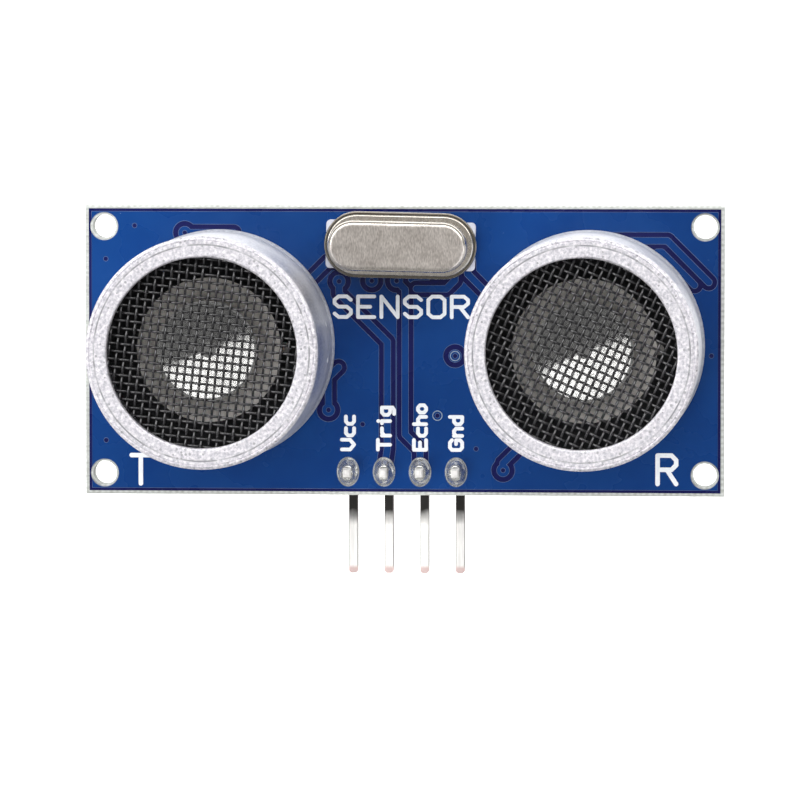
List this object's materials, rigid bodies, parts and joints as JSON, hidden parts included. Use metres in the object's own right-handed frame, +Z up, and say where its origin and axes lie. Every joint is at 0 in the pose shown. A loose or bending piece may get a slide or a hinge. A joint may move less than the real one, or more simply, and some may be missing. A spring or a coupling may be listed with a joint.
{
  "type": "ultrasonic distance sensor",
  "caption": "Blue circuit board with a round metal transmitter and receiver behind wire grilles, a crystal, rear chips and a right-angle pin header.",
  "frame": {"origin": "centre of the four corner holes, on the rear face of the bare board", "axes": "+X along the board towards the receiver, +Z up the board away from the pins, -Y the way the sensor looks"},
  "size_m": [0.045, 0.0173, 0.0263],
  "materials": {
    "laminate": "pale glass-fibre laminate, cut edges matt",
    "copper": "copper foil",
    "blue_lacquer": "glossy blue lacquer",
    "tin": "tinned copper",
    "white_ink": "screen-printed white ink",
    "black_plastic": "moulded black plastic",
    "pin_metal": "tin-plated square wire",
    "solder": "bright solder",
    "can_aluminium": "satin drawn aluminium",
    "grille_wire": "blackened woven wire",
    "horn_aluminium": "spun aluminium",
    "diaphragm_metal": "rolled sheet",
    "ceramic": "fired ceramic with a silvered face",
    "silicone": "translucent white silicone",
    "wire_copper": "enamelled copper wire",
    "crystal_steel": "drawn nickel-plated steel",
    "seal_glass": "fused glass",
    "quartz": "polished quartz",
    "white_plastic": "white insulating sheet",
    "chip_epoxy": "moulded black epoxy",
    "lead_tin": "matt tin",
    "resistor_black": "glazed black face",
    "capacitor_tan": "fired tan ceramic"
  },
  "bodies": {
    "root": {"amplifier_chip_body": "chip_epoxy", "amplifier_chip_leads": "lead_tin", "capacitor_bodies": "capacitor_tan", "capacitor_ends": "lead_tin", "circuit_board": "laminate", "component_pads": "tin", "controller_chip_body": "chip_epoxy", "controller_chip_leads": "lead_tin", "crystal_base": "crystal_steel", "crystal_can": "crystal_steel", "crystal_clips": "crystal_steel", "crystal_glass_seals": "seal_glass", "crystal_insulator": "white_plastic", "crystal_leads": "pin_metal", "crystal_quartz": "quartz", "crystal_solder_joints": "solder", "driver_chip_body": "chip_epoxy", "driver_chip_leads": "lead_tin", "echo_pin": "pin_metal", "front_copper": "copper", "front_legend": "white_ink", "front_solder_mask": "blue_lacquer", "ground_pin": "pin_metal", "header_block": "black_plastic", "header_solder_joints": "solder", "plated_holes": "tin", "rear_copper": "copper", "rear_legend": "white_ink", "rear_solder_mask": "blue_lacquer", "receiver_base": "black_plastic", "receiver_can": "can_aluminium", "receiver_diaphragm": "diaphragm_metal", "receiver_grille": "grille_wire", "receiver_horn": "horn_aluminium", "receiver_lead_wires": "wire_copper", "receiver_piezo_disc": "ceramic", "receiver_solder_joints": "solder", "receiver_support_ring": "silicone", "receiver_terminals": "pin_metal", "resistor_bodies": "resistor_black", "resistor_ends": "lead_tin", "supply_pin": "pin_metal", "transistor_body": "chip_epoxy", "transistor_leads": "lead_tin", "transmitter_base": "black_plastic", "transmitter_can": "can_aluminium", "transmitter_diaphragm": "diaphragm_metal", "transmitter_grille": "grille_wire", "transmitter_horn": "horn_aluminium", "transmitter_lead_wires": "wire_copper", "transmitter_piezo_disc": "ceramic", "transmitter_solder_joints": "solder", "transmitter_support_ring": "silicone", "transmitter_terminals": "pin_metal", "trigger_pin": "pin_metal", "via_linings": "copper"}
  },
  "joints": []
}
